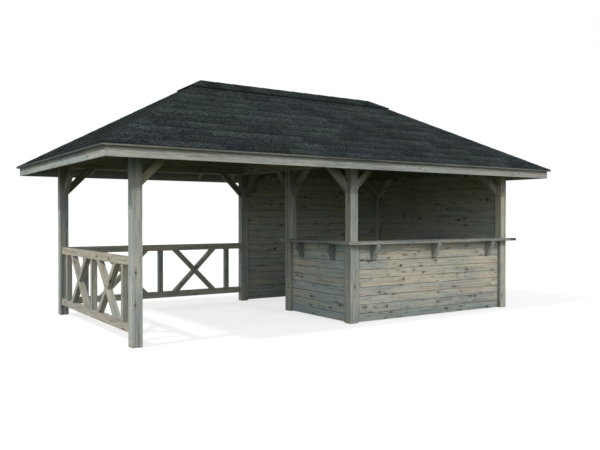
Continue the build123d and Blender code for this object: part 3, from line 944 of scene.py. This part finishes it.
def add_felt(name, bm, material, nodes=()):
    """A piece of shingles, with the black of their cut edges."""
    piece = add_piece(name, bm, material, nodes)
    piece.data.materials.append(cut_edge)


def roof_boards(side, seed):
    """Roof boards along the eave, with a small joint between them underneath."""
    rng = random.Random(seed)
    bm = new_bmesh()
    half = HALF[side]
    d = 0.0
    while d < DEEP - LINING_REST:
        top = min(d + LINING * COS, DEEP)
        outline = clip(strip(-half, half, d + LINING_JOINT, top - LINING_JOINT), side)
        if outline:
            shift = log_offset(rng)
            drop = rng.uniform(0.0, LINING_UNEVEN)
            tone = rng.uniform(0, 1)
            # The lowest board's edge shows above the fascia
            rim = 0 if d else 1
            if rim:
                tone = 1.6 if side == "left" else 0.1
            slab(bm, side, outline, lambda a, e: drop, lambda a, e: BOARD_LIFT, tone, shift, rim)
        d = top
    piece = add_piece(side + "_roof_lining", bm, roof_wood, [side + "_roof_boards"])
    piece.data.materials.append(edge_wood)


def shingles(side, material, seed):
    """Courses of shingle tabs, each with its lower edge lying on the course below."""
    rng = random.Random(seed)
    bm = new_bmesh()
    half = HALF[side]
    sheet = clip(strip(-half, half, 0.0, DEEP), side)
    sheet_top = BOARD_LIFT + UNDERLAY
    slab(bm, side, sheet, lambda a, d: BOARD_LIFT, lambda a, d: sheet_top, 0.0, NO_SHIFT)
    row = 0
    low = 0.0
    high = FIRST_COURSE * COS
    while low < DEEP - COURSE_REST:
        end = min(high + TAB_LAP, DEEP)
        offset = (row % 2) * TAB / 2 + rng.uniform(-COURSE_SHIFT, COURSE_SHIFT)
        count = int(half / TAB) + 2
        for k in range(-count, count + 1):
            a0 = k * TAB + offset + SLOT / 2
            a1 = (k + 1) * TAB + offset - SLOT / 2
            wobble = rng.uniform(-TAB_WOBBLE, TAB_WOBBLE)
            outline = clip(strip(a0, a1, low + wobble if low else 0.0, end), side)
            if not outline:
                continue
            lift = SHINGLE_EDGE / COS + rng.uniform(-0.0008, 0.0012)
            slab(
                bm, side, outline,
                lambda a, d: BOARD_LIFT + UNDERLAY / 2,
                lambda a, d: sheet_top + lift * taper((d - low) / (end - low)) + TAB_THICK,
                felt_tone(rng), Vector((0, 0, -low / COS)), 1,
            )
        row += 1
        low = high
        high += COURSE * COS
    add_felt(side + "_shingle_courses", bm, material, [side + "_shingles"])


# The left slope gets the darker felt: painted shade
for i, side in enumerate(["front", "back", "left", "right"]):
    roof_boards(side, 201 + i)
    shingles(side, dark_felt if side == "left" else shingle_felt, 211 + i)


def hip_shingles(sx, sy, seed):
    """Shingles folded over a hip, each overlapping the one below, up to the ridge cap."""
    rng = random.Random(seed)
    bm = new_bmesh()
    # Plan length per metre of hip, and how far square to the hip a wing runs along and down its slope
    per = 1 / math.sqrt(2 + SLOPE * SLOPE)
    away = Vector((1 / COS, 1)).normalized()
    wide, drop = HIP_WING * away.x, HIP_WING * away.y * COS
    wings = {"front": sx, "back": -sx, "left": -sy, "right": sy}
    sides = ["front" if sy < 0 else "back", "left" if sx < 0 else "right"]
    step = HIP_PIECE * per
    low = 0.0
    while low < DEEP - HIP_END:
        high = low + step + CAP_LAP * per
        tone = felt_tone(rng)
        lift = HIP_EDGE + rng.uniform(-0.0006, 0.0008)
        for side in sides:
            run = HALF[side]
            points = [
                (run - low, low), (run - low - wide, low - drop),
                (run - high - wide, high - drop), (run - high, high),
            ]
            outline = clip([(wings[side] * a, d) for a, d in points], side)
            if not outline:
                continue

            def top(a, d):
                up = (d + (run - abs(a) - d) * drop / (wide + drop) - low) / (high - low)
                return BOARD_LIFT + HIP_REST + lift * taper(up)

            slab(bm, side, outline, lambda a, d: BOARD_LIFT + HIP_UNDER, top, tone, NO_SHIFT, 1)
        low += step
    add_felt("_".join(sides) + "_hip_shingles", bm, shingle_felt)


def ridge_cap(seed):
    """Broad shingles folded over the ridge, each lapping over the next, and one at each end."""
    rng = random.Random(seed)
    bm = new_bmesh()
    _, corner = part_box("ridge_cap")
    start = DEEP - corner.y
    lift = corner.z - EAVE - DEEP * SLOPE
    reach = corner.x
    count = round(2 * reach / CAP_PIECE)
    step = 2 * reach / count
    for i in range(count):
        x0 = -reach + i * step
        x1 = min(x0 + step + CAP_LAP, reach)
        tone = felt_tone(rng, 0.2)
        pieces = {"front": (x0, x1), "back": (-x1, -x0)}
        if i == 0:
            pieces["left"] = (-Y_EAVE, Y_EAVE)
        if i == count - 1:
            pieces["right"] = (-Y_EAVE, Y_EAVE)
        for side, (a0, a1) in pieces.items():
            outline = clip(strip(a0, a1, start, DEEP), side)
            if not outline:
                continue

            def top(a, d):
                x = a if side == "front" else -a
                along = 0 if side in ("left", "right") else (x - x0) / (x1 - x0)
                stand = CAP_STAND * (DEEP - d) / (DEEP - start)
                return lift + stand - CAP_FALL * along

            def bottom(a, d):
                return BOARD_LIFT + CAP_UNDER + CAP_GAP * (DEEP - d) / (DEEP - start)

            slab(bm, side, outline, bottom, top, tone, Vector((0, 0, -start / COS)), 1)
    add_felt("ridge_cap_shingles", bm, cap_felt, ["ridge_cap"])


for i, (sx, sy) in enumerate([(-1, -1), (1, -1), (-1, 1), (1, 1)]):
    hip_shingles(sx, sy, 221 + i)
ridge_cap(231)


# Camera, at the photograph's viewpoint

SENSOR = 36.0            # width of the sensor, in millimetres
PHOTO_WIDTH = 600        # in pixels
FOCAL_LENGTH = 672.8     # in pixels of the photograph
CAMERA_PLACE = (-5.5655, -8.5761, 1.4200)
CAMERA_DOWN = 0.682      # degrees that it looks below level
CAMERA_ROLL = -0.028     # in degrees
CAMERA_TURN = -33.765    # degrees from looking straight back

camera_data = bpy.data.cameras.new("camera")
camera_data.sensor_width = SENSOR
camera_data.lens = FOCAL_LENGTH / PHOTO_WIDTH * SENSOR
camera = bpy.data.objects.new("camera", camera_data)
bpy.context.scene.collection.objects.link(camera)
camera.location = CAMERA_PLACE
camera.rotation_euler = [math.radians(turn) for turn in (90 - CAMERA_DOWN, CAMERA_ROLL, CAMERA_TURN)]
bpy.context.scene.camera = camera


# Light

def sun(name, azimuth, height, strength, colour, size=4):
    """A distant lamp, with its angles in degrees; azimuth goes from the front towards the left."""
    data = bpy.data.lights.new(name, "SUN")
    data.energy = strength
    data.angle = math.radians(size)
    data.color = colour
    lamp = bpy.data.objects.new(name, data)
    bpy.context.scene.collection.objects.link(lamp)
    a, h = math.radians(azimuth), math.radians(height)
    towards = Vector((-math.sin(a) * math.cos(h), -math.cos(a) * math.cos(h), math.sin(h)))
    lamp.rotation_euler = towards.to_track_quat("Z", "Y").to_euler()


sun("front_lamp", azimuth=-8, height=34, strength=0.90, colour=(1.0, 0.99, 0.96))
sun("left_lamp", azimuth=84, height=49, strength=2.35, colour=(1.0, 0.98, 0.92))


def seen_directly(tree):
    """1 for what the camera, a reflection or a see-through ray meets, 0 for light on the object."""
    rays = put(tree, "ShaderNodeLightPath")
    seen = calc(tree, "MAXIMUM", rays.outputs["Is Camera Ray"], rays.outputs["Is Glossy Ray"])
    return calc(tree, "MAXIMUM", seen, rays.outputs["Is Transmission Ray"])


def sky():
    """Light from all round, weaker overhead and at the horizon; the camera and reflections see white."""
    world = bpy.data.worlds.new("world")
    bpy.context.scene.world = world
    world.use_nodes = True
    tree = world.node_tree
    up = axis(tree, put(tree, "ShaderNodeTexCoord").outputs["Generated"], "Z")
    background = tree.nodes["Background"]
    background.inputs["Color"].default_value = (0.96, 0.99, 1.0, 1)
    strength = product(
        tree, ease(tree, up, 0.0, 0.22, 0.85, 1.38), ease(tree, up, 0.55, 0.95, 1.0, 0.22),
    )
    tree.links.new(strength, background.inputs["Strength"])
    white = put(tree, "ShaderNodeBackground", None, Color=(1, 1, 1, 1), Strength=1.0)
    both = put(
        tree, "ShaderNodeMixShader", None,
        i0=seen_directly(tree), i1=background.outputs[0], i2=white.outputs[0],
    )
    tree.links.new(both.outputs[0], tree.nodes["World Output"].inputs["Surface"])


sky()


# Floor

FLOOR_HALF = 400.0       # from its middle to its edge
FLOOR_DROP = 0.002       # below the posts' feet, so that it doesn't cut into them


def floor():
    """A wide pale floor, which looks white and throws little light back up."""
    bm = bmesh.new()
    bmesh.ops.create_grid(bm, x_segments=1, y_segments=1, size=FLOOR_HALF)
    mesh = bpy.data.meshes.new("floor")
    bm.to_mesh(mesh)
    bm.free()
    piece = bpy.data.objects.new("floor", mesh)
    piece.location.z = -FLOOR_DROP
    bpy.context.scene.collection.objects.link(piece)
    material, tree, shader = new_material("floor")
    shader.inputs["Base Color"].default_value = srgb(98, 100, 90)
    shader.inputs["Roughness"].default_value = 1.0
    shader.inputs["Specular IOR Level"].default_value = 0.0
    pale = put(tree, "ShaderNodeBsdfDiffuse", None, Color=(0.26, 0.26, 0.26, 1), Roughness=0.0)
    glow = put(tree, "ShaderNodeEmission", None, Color=(1, 1, 1, 1), Strength=0.72)
    look = put(tree, "ShaderNodeAddShader", None, i0=pale.outputs[0], i1=glow.outputs[0])
    both = put(
        tree, "ShaderNodeMixShader", None,
        i0=seen_directly(tree), i1=shader.outputs[0], i2=look.outputs[0],
    )
    tree.links.new(both.outputs[0], tree.nodes["Material Output"].inputs["Surface"])
    mesh.materials.append(material)


floor()
bpy.context.scene.view_settings.view_transform = "Standard"
